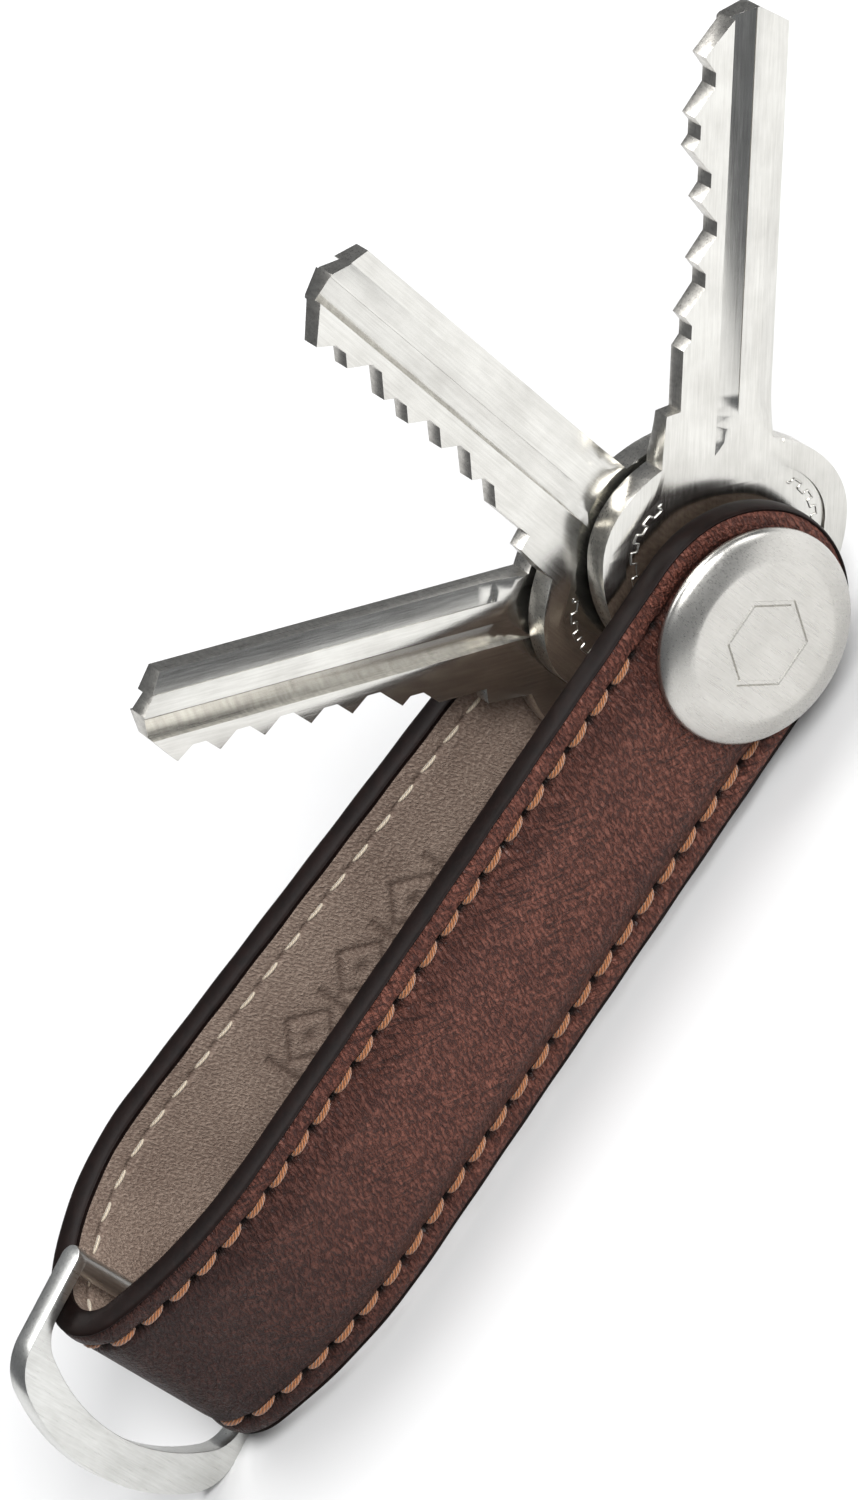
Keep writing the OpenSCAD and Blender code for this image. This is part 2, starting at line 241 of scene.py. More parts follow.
def finish_off(mat, shader, colour=None, rough=None, height=None, depth=0.05, strength=1.0):
    """Wire colour, roughness and bump; depth is the bump's height in millimetres."""
    link = mat.node_tree.links.new
    if colour is not None:
        link(colour, shader.inputs["Base Color"])
    if rough is not None:
        link(rough, shader.inputs["Roughness"])
    if height is not None:
        bump = add(mat, "Bump", {"Height": height, "Distance": depth * MM, "Strength": strength})
        link(bump.outputs[0], shader.inputs["Normal"])
    print(mat.name, len(mat.node_tree.nodes), "nodes")
    return mat


def dress(piece, mat):
    """Give the whole piece one finish."""
    piece.data.materials.clear()
    piece.data.materials.append(mat)
    return piece


print("a screen value of 128 is", round(screen(128, 128, 128)[0], 3), "in linear light")


# %% [markdown]
# ## The band's route
# Both leathers follow one line, the glue line between them. From the post it runs straight,
# turns gently towards the bend, wraps round the ring's bar in a tight nose, and comes back to
# the post with a slight lean. A curve object could carry the pieces, but a formula lets every
# layer, thread and edge share exactly the same route: the heading is a straight ramp along each
# stretch, and the place is its running sum. The gentle radius of the rear arm, r_back, is worked
# out, so that its lean always ends at the distance CLAMP from the post.

# %% Lay out the route
R_ARM, R_NOSE, R_KINK, CLAMP = 36.0, 3.85, 20.0, 8.19
TURN, NOSE, LEAN = np.radians([26.0, 109.0, 5.0])
REACH, LEATHER, LINING, SEAM = 70.6, 1.2, 0.9, 7.3
FRONT_Y, REAR_Y = 4.12, 15.22
nose_end = np.pi - TURN - NOSE
nose_x = -REACH + R_NOSE + LEATHER
arm_x = nose_x - R_NOSE * np.sin(TURN) + R_ARM * np.sin(TURN)
nose_y = FRONT_Y + R_ARM * (1 - np.cos(TURN)) + R_NOSE * np.cos(TURN)
end_x = nose_x - R_NOSE * np.sin(nose_end)
end_y = nose_y + R_NOSE * np.cos(nose_end)
kink_drop = R_KINK * (1 - np.cos(LEAN))
r_back = ((-CLAMP - end_x - R_KINK * np.sin(LEAN) - (end_y - REAR_Y - kink_drop) / np.tan(LEAN))
          / (np.sin(nose_end) + np.sin(LEAN)
             + (np.cos(LEAN) - np.cos(nose_end)) / np.tan(LEAN)))
back_y = end_y + r_back * (np.cos(LEAN) - np.cos(nose_end))
lean_l = (back_y - REAR_Y - kink_drop) / np.sin(LEAN)
lengths = np.array([-arm_x, R_ARM * TURN, R_NOSE * NOSE, r_back * (nose_end + LEAN), lean_l,
                    R_KINK * LEAN, CLAMP])
marks = np.concatenate([[0], np.cumsum(lengths)])
headings = np.array([np.pi, np.pi, np.pi - TURN, nose_end, -LEAN, -LEAN, 0, 0])
TOTAL = marks[-1]
fine_s = np.linspace(0, TOTAL, 20001)
fine_h = np.interp(fine_s, marks, headings)
mid_h = (fine_h[1:] + fine_h[:-1]) / 2
fine_x = np.concatenate([[0], np.cumsum(np.cos(mid_h) * np.diff(fine_s))])
fine_y = FRONT_Y + np.concatenate([[0], np.cumsum(np.sin(mid_h) * np.diff(fine_s))])
print("route", round(TOTAL, 2), "mm; it closes to", round(abs(fine_x[-1]), 4),
      round(abs(fine_y[-1] - REAR_Y), 4), "mm")


def on_band(s, z, t):
    """Point at length s along the glue line, height z, and t outwards: place + t * normal.
    Before the start and past the end the line goes straight on."""
    s, z, t = np.broadcast_arrays(s, z, t)
    h = np.interp(s, fine_s, fine_h)
    over = np.clip(-s, 0, None) + np.clip(s - TOTAL, 0, None)
    x = np.interp(s, fine_s, fine_x) + over - t * np.sin(h)
    y = np.interp(s, fine_s, fine_y) + t * np.cos(h)
    return np.stack([x, y, z], -1)


# %% [markdown]
# ## A layer with round ends
# A layer of the band is a closed shell. Its rows cross the band from edge to edge; at each end
# the rows turn about the post like the ribs of a fan, which makes the round end. The distance
# from the middle, q, is the height on the straights and the distance from the post in the fans,
# so the same cross-section goes all the way round.

# %% Band rows
PITCH = 2.765
FIRST_UPPER, FIRST_LOWER = 7.72, 14.99 - 3 * PITCH
STEP = PITCH / 9


def band_rows(step=STEP, first=0.0, last=TOTAL):
    """Rows as (base length, fan angle): fans at both ends, straights between."""
    fan = np.linspace(90, 0, 34)[:-1]
    s = np.linspace(first, last, int(round((last - first) / step)) + 1)
    base = [s, np.zeros_like(s)]
    if first == 0:
        base = [np.concatenate([np.zeros_like(fan), base[0]]), np.concatenate([fan, base[1]])]
    if last == TOTAL:
        base = [np.concatenate([base[0], np.full_like(fan, TOTAL)]),
                np.concatenate([base[1], fan[::-1]])]
    return np.array(base[0])[:, None], np.radians(base[1])[:, None]


def flat_place(base, fan, q):
    """Length and height of the point q across row (base, fan)."""
    side = np.where(base < TOTAL / 2, -1, 1)
    return base + side * np.abs(q) * np.sin(fan), q * np.cos(fan)


def shell(name, rows, q, t, painted=None):
    """A closed shell: q and t give the cross-section's points, t may differ from row to row."""
    base, fan = rows
    q = np.broadcast_to(q, t.shape)
    s, z = flat_place(base, fan, q)
    points = on_band(s, z, t)
    uv = np.stack([s, z], -1) / 100
    cells = grid_cells(*t.shape)
    return make_piece(name, points, cells, uv, painted)


def both_ways(half):
    """Mirror a list of distances from the middle: -far ... 0 ... far."""
    half = np.asarray(half, float)
    return np.concatenate([-half[::-1], half[1:]])


print("the band has", len(band_rows()[0]), "rows, and a stitch every", PITCH, "mm")


# %% [markdown]
# ## Outer leather
# The outer leather is cowhide 1.2 mm thick, drawn down along two rows of stitches, so that the
# padding makes a crowned panel between them and the margins stand up as a soft roll. The needle
# leaves a small pit at each end of a stitch. A sculpt brush could make this by hand, but it is
# all regular, so it is one height formula: margin + crown + seam valley + needle pits.

# %% Outer leather shape
SEAM_DEPTH = 0.34
ROWS = band_rows()
BASE = ROWS[0]


def arm_fade(s):
    """1 along the padded arms and 0 round the bend."""
    return 1 - soft_step(s, 53, 68) + soft_step(s, 80, 92)


def needle_pits(s, q, width):
    """Bells centred between the stitches of both rows, away from the clamped ends."""
    start = np.where(q > 0, FIRST_UPPER, FIRST_LOWER) + PITCH / 2
    off = (s - start + PITCH / 2) % PITCH - PITCH / 2
    clear = soft_step(s, 2, 4) * (1 - soft_step(s, TOTAL - 4, TOTAL - 2))
    return bell(off, width) * bell(np.abs(q) - SEAM, width) * clear


def outer_height(s, q):
    """Height of the outer face: margin + crown - valley - pits + slight unevenness."""
    a = np.abs(q)
    crown = 0.9 * (1 - soft_step(a, 4.6, 7.1)) + 0.08 * (1 - np.clip(a / 7, 0, 1) ** 2)
    puff = 1 + 0.05 * np.sin(s * 0.31 + 1) * np.cos(s * 0.13 + q * 0.35)
    roll = 0.10 * bell(a - 8.35, 0.7)
    valley = SEAM_DEPTH * bell(a - SEAM, 0.42)
    edge = 0.42 * soft_step(a, 8.7, 9.5) ** 2
    pucker = 0.05 * np.cos((s - np.where(q > 0, FIRST_UPPER, FIRST_LOWER)) * 2 * np.pi / PITCH)
    return (LEATHER + crown * puff * arm_fade(s) + roll - valley - edge
            + pucker * bell(a - SEAM, 0.8) - 0.42 * needle_pits(s, q, 0.30))


outer_half = np.concatenate([np.arange(0, 5, 0.5), np.arange(5, 6.5, 0.3), np.arange(6.5, 8.1, 0.1),
                             [8.25, 8.5, 8.75, 9.0, 9.15, 9.3, 9.42, 9.5]])
inner_half = np.array([0, 2, 4, 4.8, 5.3, 5.7, 6.2, 9.42])
q_top, q_under = both_ways(outer_half), both_ways(inner_half)[::-1]
Q = np.concatenate([q_top, q_under])[None, :]
top = outer_height(BASE, q_top[None, :])
pocket = 1 - soft_step(np.abs(q_under), 4.6, 5.9)[None, :]
under = 0.004 + 0.86 * pocket * arm_fade(BASE)
# Painted shade: the seam value darkens the seam valleys and the needle pits.
seam_shade = np.concatenate([
    0.5 * bell(np.abs(q_top) - SEAM, 0.32)[None, :] + needle_pits(BASE, q_top[None, :], 0.42),
    np.zeros(under.shape)], 1)
# Painted shade: the flank value darkens the crown's slopes beside both stitch rows, and the bend
# value darkens the bend.
flank_shade = np.broadcast_to(bell(np.abs(Q) - SEAM + 1.3, 1.3), seam_shade.shape)
bend_shade = soft_step(BASE, 40, 70) * (1 - soft_step(BASE, 76, 96))
outer = shell("outer_leather_skin", ROWS, Q, np.concatenate([top, under], 1),
              painted={"seam": np.clip(seam_shade, 0, 1), "flank": flank_shade,
                       "bend": np.broadcast_to(bend_shade, seam_shade.shape)})
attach(outer, "strap")
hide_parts("outer_leather")

# %% [markdown]
# ## Lining leather
# The lining is a thinner, paler leather glued to the outer one before sewing. Only fine
# stitches show on it, each in a small dent. A plain ornament of lozenges and bars is pressed
# into the rear arm, and the leather creases a little where it turns into the bend. The same
# shell is used, with its face on the inside of the route.

# %% Lining shape
def pressed_ornament(s, q):
    """A row of lozenge outlines and short bars along the rear arm, 0 to 1 deep."""
    along, across = s - (TOTAL - 36.5), q - 0.3
    cell = (along + 3.2) % 6.4 - 3.2
    lozenge = bell(np.abs(cell) / 2.4 + np.abs(across) / 2.7 - 1, 0.13)
    bars = bell(np.abs(cell) - 3.2, 0.30) * (1 - soft_step(np.abs(across), 2.0, 2.3))
    dot = bell(np.hypot(cell, across), 0.55)
    return np.clip(lozenge + bars + dot, 0, 1) * (1 - soft_step(np.abs(along), 10.2, 10.4))


def lining_height(s, q):
    """Height of the lining's face, below the glue line: thickness, less dents and creases."""
    a = np.abs(q)
    start = np.where(q > 0, FIRST_UPPER, FIRST_LOWER)
    crease_zone = soft_step(s, 50, 62) * (1 - soft_step(s, 84, 96))
    crease = bell((s * 0.9 + 0.5 * np.sin(q * 0.7)) % 3.1 - 1.5, 0.35)
    wave = 0.02 * np.sin((s - start) * 2 * np.pi / PITCH) * bell(a - SEAM, 0.6)
    return (-LINING + 0.30 * pressed_ornament(s, q) + 0.10 * bell(a - SEAM, 0.28)
            + 0.2 * needle_pits(s, q, 0.22) + 0.05 * crease * crease_zone + wave
            + 0.2 * soft_step(a, 9.0, 9.5) ** 2)


face_half = np.concatenate([np.arange(0, 4.3, 0.18), np.arange(4.5, 6.8, 0.4),
                            np.arange(6.8, 7.9, 0.12), [8.2, 8.7, 9.1, 9.35, 9.5]])
q_face, q_back = both_ways(face_half), both_ways([0, 4, 9.42])[::-1]
face = lining_height(BASE, q_face[None, :])
back = np.full((len(BASE), len(q_back)), -0.004)
# Painted shade: this seam value marks the pressed ornament and the needle dents, which the lining
# finish darkens.
lining_dent_shade = np.concatenate([np.clip(pressed_ornament(BASE, q_face[None, :])
                                       + needle_pits(BASE, q_face[None, :], 0.3), 0, 1),
                               np.zeros(back.shape)], 1)
lining = shell("lining_skin", ROWS, np.concatenate([q_face, q_back])[None, :],
               np.concatenate([face, back], 1), painted={"seam": lining_dent_shade})
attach(lining, "strap")
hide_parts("lining")

# %% [markdown]
# ## Painted edge
# After sewing, the cut edge of both leathers is sanded round and painted in a few coats, which
# dry to a glossy, slightly swollen band. It runs right round the band, so it is one profile
# carried along the outline: up one edge, round the rear end, back, and round the front end.

# %% Painted edge shape
around = np.radians(np.linspace(-100, 100, 13))
swell = np.stack([9.36 + 0.24 * np.cos(around), 0.11 + 1.03 * np.sin(around)], -1)
swell = np.concatenate([swell, [[9.1, 0.9], [9.1, -0.6], [9.02, -0.88], [9.08, -0.92],
                                [9.2, -0.925]]])
straight = np.linspace(0, TOTAL, 420)
arc_q = np.linspace(0, np.pi, 61)[1:-1]
base_e = np.concatenate([straight, np.full_like(arc_q, TOTAL), straight[::-1],
                         np.zeros_like(arc_q)])
turn_e = np.concatenate([np.zeros_like(straight), arc_q, np.full_like(straight, np.pi),
                         np.pi + arc_q])[:, None]
d_e, t_e = swell[None, :, 0], swell[None, :, 1]
lump = 1 + 0.02 * np.sin(np.arange(len(base_e)) * 0.37)[:, None]
s_e = base_e[:, None] + d_e * np.sin(turn_e)
z_e = d_e * np.cos(turn_e)
edge_points = on_band(s_e, z_e, t_e * lump)
edge_points = np.concatenate([edge_points, edge_points[:1]])
edge_paint = make_piece("edge_paint", edge_points, grid_cells(*edge_points.shape[:2]),
                        sharp=40)
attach(edge_paint, "strap")

# %% [markdown]
# ## Padding
# A strip of soft board between the two leathers gives each arm its crowned panel. It can't be
# seen, but it fills the pocket, so it is made as the crowned closed pad that it is: a flat
# underside and a top that falls away to nothing at the sides and towards the bend.

# %% Padding shapes
pad_half = np.concatenate([np.arange(0, 4.6, 0.9), [4.6, 4.9, 5.2, 5.5]])
q_pad = np.concatenate([both_ways(pad_half), both_ways([0, 2, 4])[::-1]])[None, :]
for name, first, last in (("front_padding", 0.0, 66.0), ("rear_padding", 82.0, TOTAL)):
    rows = band_rows(1.2, first, last)
    crown = 0.80 * (1 - soft_step(np.abs(both_ways(pad_half)), 4.4, 5.5))[None, :]
    pad_top = 0.012 + crown * arm_fade(rows[0])
    pad_under = np.full((len(rows[0]), 5), 0.01)
    t = np.concatenate([pad_top, pad_under], 1)
    if first > 0:
        t[0] = 0.01
    else:
        t[-1] = 0.01
    pad = shell(name + "_strip", rows, q_pad, t)
    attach(pad, "strap")
    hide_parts(name)

# %% [markdown]
# ## Stitches
# Each stitch is a short length of thick waxed thread that comes up through one hole, lies in
# the valley and dives into the next. It is a small swept tube: a centre line that arches up
# and leans a little, with a radius that closes at both ends. All stitches of a row are worked
# out at once and share one mesh, with a few dozen faces each.

# %% Stitch rows
RINGS, SIDES = 9, 8


def stitch_row(name, first, height, length, wide, thick, crest, sink, lean):
    """Tubes centred every PITCH from first. Along a stitch, c goes from -1 to 1: the centre
    arches from crest down to -sink at both ends, and width and thickness shrink as the root
    of 1 - c^6."""
    count = int((TOTAL - 2 * first) // PITCH) + 1
    middle = (first + PITCH * np.arange(count))[:, None, None]
    c = np.cos(np.linspace(np.pi, 0, RINGS))[None, :, None]
    turn = (np.arange(SIDES) * 2 * np.pi / SIDES)[None, None, :]
    body = np.sqrt(np.clip(1 - c ** 6, 0, 1))
    s = middle + c * length / 2
    z0 = height - lean * c
    arch = crest - (crest + sink) * np.abs(c) ** 2.6
    z = z0 + wide / 2 * body * np.cos(turn)
    t = arch + thick / 2 * body * np.sin(turn)
    points = on_band(s, z, t)
    cells = (grid_cells(RINGS, SIDES)[None]
             + (np.arange(count) * RINGS * SIDES)[:, None, None])
    uv = np.stack(np.broadcast_arrays(0 * middle + (c + 1) / 2, turn / (2 * np.pi)), -1)
    return make_piece(name, points, cells.reshape(-1, 4), uv)


valley_t = LEATHER - SEAM_DEPTH
for name, sign, first in (("upper", 1, FIRST_UPPER), ("lower", -1, FIRST_LOWER)):
    row = stitch_row(name + "_stitches", first, sign * SEAM, 2.30, 0.54, 0.50,
                     valley_t + 0.22, 0.25 - valley_t, 0.12)
    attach(row, "strap")
    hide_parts(name + "_stitching")
    fine = stitch_row(name + "_lining_stitches", first, sign * SEAM, 2.0, 0.34, 0.28,
                      -LINING + 0.02, 0.62, 0.10)
    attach(fine, "strap")
    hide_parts(name + "_lining_stitching")

# %% [markdown]
# ## Front cap
# The cap is a turned steel disc: a thin rim, a domed shoulder and a slightly dished face with
# an engraved hexagon. A lathe profile would give the dome, but not the hexagon, so the rings
# of the grid change shape on the way out: hexagons in the middle of the face, circles from its
# border on. The groove then follows one ring exactly.

# %% Front cap shape
CAP_T, REAR_SEAT = 1.9, 17.44
HEX_END, ROUND_START, ENGRAVED = 4.1, 5.6, 0.15


def ring_shape(k, angle):
    """Distance from the axis on ring k: a hexagon inside HEX_END, a circle past ROUND_START."""
    hexagon = np.cos(np.pi / 6) / np.cos((angle % (np.pi / 3)) - np.pi / 6)
    return k * (hexagon + (1 - hexagon) * soft_step(k, HEX_END, ROUND_START))


SHOULDER_K = [5.6, 5.9, 6.1, 6.3, 6.6, 7.0, 7.5, 7.9, 8.15, 8.3, 8.4, 8.45]
SHOULDER_H = [1.88, 1.885, 1.87, 1.81, 1.68, 1.49, 1.23, 1.01, 0.84, 0.69, 0.54, 0.38]


def cap_height(k):
    """Height over the seat: a face dished by 0.06, then the sloping shoulder and rounded rim."""
    face = 1.82 + 0.06 * soft_step(k, 3.9, ROUND_START)
    return np.where(k < ROUND_START, face, np.interp(k, SHOULDER_K, SHOULDER_H))


k_face = np.concatenate([[0, 0.6, 1.5, 2.4, 3.0, 3.26, 3.30, 3.36, 3.40, 3.72, 3.76, 3.82, 3.86],
                         [4.2, 4.7, 5.2], SHOULDER_K])
cut = soft_step(k_face, 3.30, 3.40) * (1 - soft_step(k_face, 3.72, 3.82))
h_face = cap_height(k_face) - ENGRAVED * cut
k_cap = np.concatenate([k_face, [8.45, 8.40, 8.25, 4.05, 4.02, 0.0]])
h_cap = np.concatenate([h_face, [0.15, 0.04, 0.0, 0.0, 0.91, 0.91]])
angle = np.linspace(0, 2 * np.pi, 193)[None, :-1]
r = ring_shape(k_cap[:, None], angle)
r = np.where(k_cap[:, None] >= ROUND_START, k_cap[:, None], r)
r[-3:] = k_cap[-3:, None]
cap_points = np.stack([r * np.cos(angle), CAP_T - np.broadcast_to(h_cap[:, None], r.shape),
                       r * np.sin(angle)], -1)
front_cap = make_piece("front_cap_disc", cap_points, grid_cells(*r.shape), sharp=38)
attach(front_cap, "strap")
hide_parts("front_cap")

# %% [markdown]
# ## Rear cap
# The rear cap is the same disc with a stepped hole for the screw, so it is turned from one
# closed profile. Its face carries no engraving.

# %% Rear cap shape
k_rear = np.concatenate([[4.05, 4.08, 4.16, 4.4, 5.2], SHOULDER_K,
                         [8.45, 8.40, 8.25, 1.8, 1.8, 4.05]])
h_rear = np.concatenate([[1.70, 1.78, 1.83, 1.85, 1.87], SHOULDER_H, [0.15, 0.04, 0, 0, 0.8, 0.8]])
rear_points = np.stack([k_rear[:, None] * np.cos(angle),
                        REAR_SEAT + np.broadcast_to(h_rear[:, None],
                                                    (len(k_rear), angle.shape[1])),
                        k_rear[:, None] * np.sin(angle)], -1)
rear_points = np.concatenate([rear_points, rear_points[:1]])
rear_cap = make_piece("rear_cap_disc", rear_points, grid_cells(*rear_points.shape[:2]), sharp=38)
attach(rear_cap, "strap")
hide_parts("rear_cap")

# %% [markdown]
# ## Keys, screw and ring
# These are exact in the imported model, but machined parts never have razor edges. A copy of each
# mesh is merged, its flat areas are joined into single faces, and a narrow Bevel breaks every
# edge, so that it catches the light as a real one does.

# %% Broken edges
EASED_FROM = 24


def eased_copy(node, name, width, body, segments=2):
    """A copy of a CAD node with merged corners, joined flats and bevelled edges."""
    mesh = nodes[node].data.copy()
    mesh.name = name
    mesh.materials.clear()
    bm = bmesh.new()
    bm.from_mesh(mesh)
    bmesh.ops.remove_doubles(bm, verts=bm.verts, dist=2e-6)
    bmesh.ops.dissolve_limit(bm, angle_limit=np.radians(1), verts=bm.verts, edges=bm.edges)
    bmesh.ops.recalc_face_normals(bm, faces=bm.faces)
    bm.to_mesh(mesh)
    bm.free()
    piece = bpy.data.objects.new(name, mesh)
    bpy.context.scene.collection.objects.link(piece)
    mesh.shade_smooth()
    bevel = piece.modifiers.new("eased edges", "BEVEL")
    bevel.width = width * MM
    bevel.segments = segments
    bevel.limit_method = "ANGLE"
    bevel.angle_limit = np.radians(EASED_FROM)
    bevel.harden_normals = True
    bevel.use_clamp_overlap = True
    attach(piece, body)
    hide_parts(node)
    print(name, len(mesh.polygons), "faces before the bevel")
    return piece


front_key = eased_copy("front_key", "front_key_cut", 0.09, "front_key")
middle_key = eased_copy("middle_key", "middle_key_cut", 0.09, "middle_key")
rear_key = eased_copy("rear_key", "rear_key_cut", 0.09, "rear_key")
ring = eased_copy("d_ring", "ring_eased", 0.22, "d_ring", segments=3)
screw = eased_copy("clamp_screw", "screw_eased", 0.12, "strap")

# %% [markdown]
# ## Notched border on the bows
# A thin raised line with square notches runs round the pressed panel of each bow, on both
# faces. It is a half-round bead carried along an ellipse whose radius steps in and out.

# %% Notched border
KEY_T = 2.1
KEY_Y = {"front_key": 5.77, "middle_key": 8.62, "rear_key": 11.47}
KEY_ANGLE = {"front_key": 140.4, "middle_key": 93.0, "rear_key": 47.4}


def on_key(key, along, off, lift):
    """A key's own place (along, off, lift from its rear face) turned into the frame."""
    a = np.radians(KEY_ANGLE[key])
    x = -np.cos(a) * along - np.sin(a) * off
    z = np.sin(a) * along - np.cos(a) * off
    return np.stack([x, KEY_Y[key] + KEY_T - lift, z], -1)


a = np.radians(np.linspace(44, 316, 1361))
notch = np.clip(np.sin(a * 23) * 14, -1, 1)
inset = 2.85 + 0.24 * notch
path_x = 6.2 + (np.where(np.cos(a) > 0, 7.8, 10.8) - inset) * np.cos(a)
path_y = (10.8 - inset) * np.sin(a)
run = np.gradient(np.stack([path_x, path_y], -1), axis=0)
run /= np.linalg.norm(run, axis=1, keepdims=True)
bead_turn = np.radians([0, 60, 120, 180, 270])[None, :]
taper = np.ones(len(a))
taper[[0, -1]] = 0
for key in KEY_Y:
    beads = []
    for level, up in ((0.25, -1), (1.85, 1)):
        across = 0.09 * np.cos(bead_turn) * taper[:, None]
        lift = level + up * 0.10 * np.sin(bead_turn) * taper[:, None]
        beads.append(on_key(key, path_x[:, None] - run[:, 1:] * across,
                            path_y[:, None] + run[:, :1] * across, lift))
    cells = grid_cells(len(a), 5)
    border = make_piece(key + "_border", np.concatenate([b.reshape(-1, 3) for b in beads]),
                        np.concatenate([cells, cells + 5 * len(a)]))
    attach(border, key)

# %% [markdown]
# ## Leather finish
# Waxed pull-up leather is a dark reddish brown that turns lighter where it is stretched, with
# a fine grain of tiny pebbles crossed by short creases. Cells from a Voronoi pattern make the
# pebbles, and two stretched noises make the fine grooves and the longer wrinkles. An image of
# leather would be quicker, but it would stretch round the bend. The colour carries painted
# light: the grain's ridges are lightened as a painted highlight, its grooves and wrinkles are
# darkened as painted shade, and the painted values darken the valleys and needle pits of the
# seams, the flanks of the crown and the bend as painted shade.

# %% Outer leather finish
leather_mat, shader = new_finish("waxed_brown_leather", Specular_IOR_Level=0.28)
place = spot(leather_mat)
wander = add(leather_mat, "TexNoise", {"Vector": place, "Scale": 1.4}).outputs["Color"]
pebble = add(leather_mat, "TexVoronoi",
             {"Vector": mix(leather_mat, 0.15, place, wander), "Scale": 2.6},
             feature="DISTANCE_TO_EDGE").outputs["Distance"]
pebble = maths(leather_mat, "MINIMUM", pebble, 0.22)
streaks = noise(leather_mat, flat_spot(leather_mat, (0.62, 0.24), 110), 1.0, 3, 0.6, 0.6)
crossed = noise(leather_mat, flat_spot(leather_mat, (2.4, 0.35), 38), 1.0, 3, 0.55, 0.8)
broad = noise(leather_mat, place, 0.10, 4, 0.6)
pull = noise(leather_mat, place, 0.40, 5, 0.7)
seam = add(leather_mat, "Attribute", attribute_name="seam").outputs["Fac"]
bend = add(leather_mat, "Attribute", attribute_name="bend").outputs["Fac"]
flank = add(leather_mat, "Attribute", attribute_name="flank").outputs["Fac"]
where_crossed = ramp(leather_mat, broad, (0.45, 0.0), (0.62, 1.0))
tone = maths(leather_mat, "ADD", maths(leather_mat, "MULTIPLY", broad, 0.55),
             maths(leather_mat, "MULTIPLY", pull, 0.45))
colour = ramp(leather_mat, tone, (0.38, screen(82, 45, 37)), (0.62, screen(112, 66, 54)))
# Painted highlight and shade: the grain's ridges are lightened and its grooves darkened, as the
# bump rises and falls.
ridges = ramp(leather_mat, streaks, (0.50, 0.0), (0.64, 1.0))
grooves = ramp(leather_mat, streaks, (0.38, 1.0), (0.50, 0.0))
colour = layer(leather_mat, colour, ridges, 0.30, screen(144, 92, 76))
colour = layer(leather_mat, colour, grooves, 0.60, screen(36, 17, 14))
# Painted shade: the wrinkles are darkened where the bump dips.
wrinkles = maths(leather_mat, "MULTIPLY", ramp(leather_mat, crossed, (0.38, 1.0), (0.47, 0.0)),
                 where_crossed)
colour = layer(leather_mat, colour, wrinkles, 0.6, screen(34, 15, 12))
# Painted shade: the crown's flanks, the bend, and the seam valleys with their needle pits are
# darkened.
colour = layer(leather_mat, colour, flank, 0.42, screen(38, 19, 16))
colour = layer(leather_mat, colour, bend, 0.78, screen(30, 12, 10))
colour = mix(leather_mat, seam, colour, screen(16, 7, 5))
height = maths(leather_mat, "SUBTRACT", maths(leather_mat, "MULTIPLY", pebble, 0.7), grooves)
height = maths(leather_mat, "ADD", height, maths(leather_mat, "MULTIPLY", ridges, 0.5))
height = maths(leather_mat, "SUBTRACT", height, wrinkles)
rough = ramp(leather_mat, pull, (0.3, 0.54), (0.7, 0.42))
finish_off(leather_mat, shader, colour, rough, height, 0.17, 1.0)
dress(outer, leather_mat)

# %% [markdown]
# ## Lining finish
# The lining is a taupe, drum-dyed leather with a finer, rounder grain and hardly any shine.
# Its creases are long and shallow near the bend. Its colour is lightened on the grain's bumps
# as a painted highlight, and darkened in the grain's dips, the pressed ornament and the needle
# dents as painted shade.

# %% Lining finish
lining_mat, shader = new_finish("taupe_lining")
place = spot(lining_mat)
grain = add(lining_mat, "TexVoronoi", {"Vector": place, "Scale": 2.8, "Smoothness": 0.6},
            feature="SMOOTH_F1").outputs["Distance"]
fine = noise(lining_mat, flat_spot(lining_mat, (0.4, 0.2), 100), 1.0, 3, 0.6)
broad = noise(lining_mat, place, 0.16, 4)
seam = add(lining_mat, "Attribute", attribute_name="seam").outputs["Fac"]
colour = ramp(lining_mat, broad, (0.35, screen(132, 113, 101)), (0.65, screen(150, 131, 118)))
# Painted highlight and shade: the grain's bumps are lightened and its dips darkened, as the bump
# rises and falls.
dips = ramp(lining_mat, fine, (0.38, 1.0), (0.50, 0.0))
bumps = ramp(lining_mat, fine, (0.50, 0.0), (0.64, 1.0))
colour = layer(lining_mat, colour, bumps, 0.35, screen(186, 168, 154))
colour = layer(lining_mat, colour, dips, 0.45, screen(92, 74, 64))
# Painted shade in the pressed ornament and the needle dents.
colour = layer(lining_mat, colour, seam, 0.70, screen(82, 64, 54))
height = maths(lining_mat, "SUBTRACT", bumps, dips)
height = maths(lining_mat, "SUBTRACT", height, maths(lining_mat, "MULTIPLY", grain, 0.8))
rough = ramp(lining_mat, fine, (0.3, 0.70), (0.7, 0.55))
finish_off(lining_mat, shader, colour, rough, height, 0.05, 0.9)
dress(lining, lining_mat)

# %% [markdown]
# ## Edge paint, thread, padding and washers
# Edge paint dries nearly black and glossy, with a little orange peel. Thread is two plies
# twisted together, so a slanting wave along each stitch dents it between the plies, and its
# colour is darkened there as painted shade. The padding is felted board, and the washers are
# dark nylon.

# %% Small finishes
paint_mat, shader = new_finish("glossy_edge_paint", Roughness=0.42, Specular_IOR_Level=0.10)
place = spot(paint_mat)
peel = noise(paint_mat, place, 1.1, 3)
colour = ramp(paint_mat, peel, (0.3, screen(14, 8, 7)), (0.7, screen(24, 14, 12)))
finish_off(paint_mat, shader, colour, None, peel, 0.05, 0.5)
dress(edge_paint, paint_mat)


